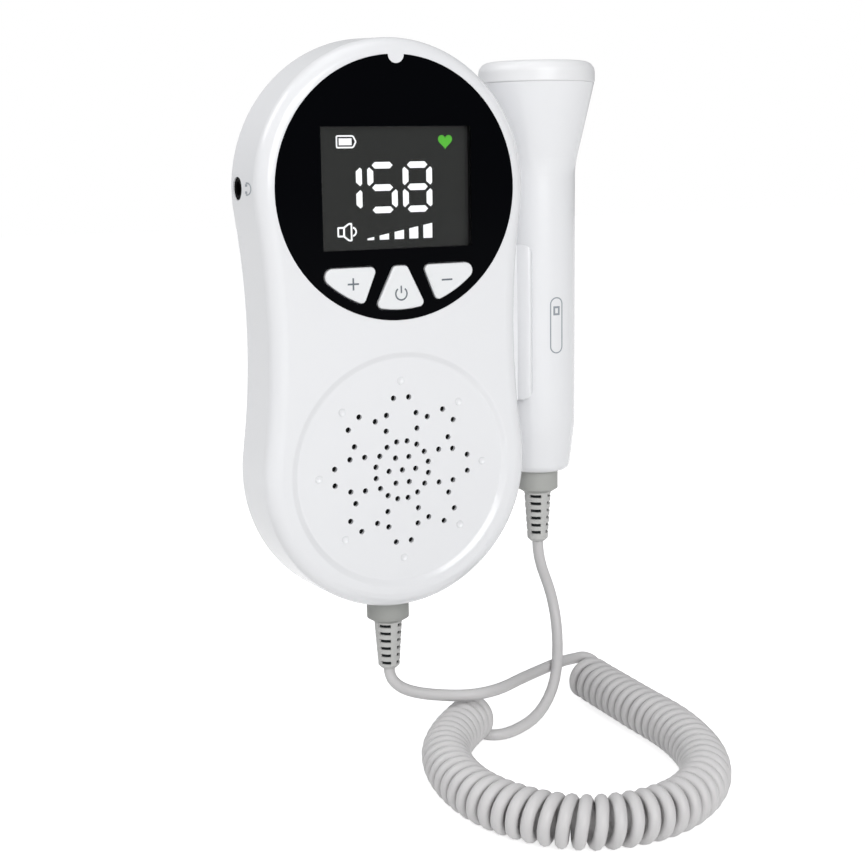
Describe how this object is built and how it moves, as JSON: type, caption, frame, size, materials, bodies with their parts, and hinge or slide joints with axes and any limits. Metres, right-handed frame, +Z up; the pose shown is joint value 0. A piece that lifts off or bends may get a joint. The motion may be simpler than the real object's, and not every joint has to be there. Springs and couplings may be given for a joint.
{
  "type": "fetal doppler monitor",
  "caption": "Two-lobed handheld heart-rate monitor with a round display, arc of keys, speaker grille, side clip, flared ultrasound probe and curly cord.",
  "frame": {"origin": "middle of the flat back face, level with the centre of the round display lens", "axes": "+Z up along the unit, +Y out of the back, +X towards the side that carries the probe"},
  "size_m": [0.1098, 0.1134, 0.19],
  "materials": {
    "housing": "gloss, warm white",
    "cap": "gloss, white",
    "lens": "polished black",
    "key": "satin white",
    "relief": "matte grey",
    "cord": "satin light grey",
    "display_glass": "dark glass",
    "light_guide": "milky",
    "inner_black": "matte black",
    "board": "green lacquer",
    "steel": "zinc plated",
    "gasket": "foam",
    "cone": "paper",
    "cell": "sleeved can",
    "crystal": "silvered ceramic",
    "resin": "cast resin"
  },
  "bodies": {
    "unit": {"front_shell": "housing", "rear_shell": "housing", "probe_holder": "housing", "display_lens": "lens", "lcd_panel": "display_glass", "lcd_backlight": "light_guide", "display_frame": "inner_black", "main_board": "board", "board_chips": "inner_black", "tact_switches": "inner_black", "headphone_jack": "inner_black", "speaker_gasket": "gasket", "speaker_basket": "steel", "speaker_cone": "cone", "speaker_magnet": "steel", "aa_cells": "cell", "battery_contacts": "steel", "case_screws": "steel", "board_screws": "steel", "unit_strain_relief": "relief", "cord_unit_lead": "cord", "cord_coil": "cord", "cord_probe_lead": "cord"},
    "battery_cover": {"battery_cover": "housing"},
    "probe": {"probe_handle": "housing", "probe_cap": "cap", "transducer_crystals": "crystal", "crystal_backing": "resin", "probe_board": "board", "probe_strain_relief": "relief"},
    "plus_key": {"plus_key": "key", "plus_plunger": "inner_black"},
    "power_key": {"power_key": "key", "power_plunger": "inner_black"},
    "minus_key": {"minus_key": "key", "minus_plunger": "inner_black"}
  },
  "joints": [
    {"name": "probe_slide", "type": "slide", "parent": "unit", "child": "probe", "axis": [0, 0, 1], "range_m": [0, 0.065]},
    {"name": "battery_cover_slide", "type": "slide", "parent": "unit", "child": "battery_cover", "axis": [0, 0, -1], "range_m": [0, 0.06]},
    {"name": "plus_key_press", "type": "slide", "parent": "unit", "child": "plus_key", "axis": [0, 1, 0], "range_m": [0, 0.0005], "stiffness_N_per_m": 1200},
    {"name": "power_key_press", "type": "slide", "parent": "unit", "child": "power_key", "axis": [0, 1, 0], "range_m": [0, 0.0005], "stiffness_N_per_m": 1200},
    {"name": "minus_key_press", "type": "slide", "parent": "unit", "child": "minus_key", "axis": [0, 1, 0], "range_m": [0, 0.0005], "stiffness_N_per_m": 1200}
  ]
}
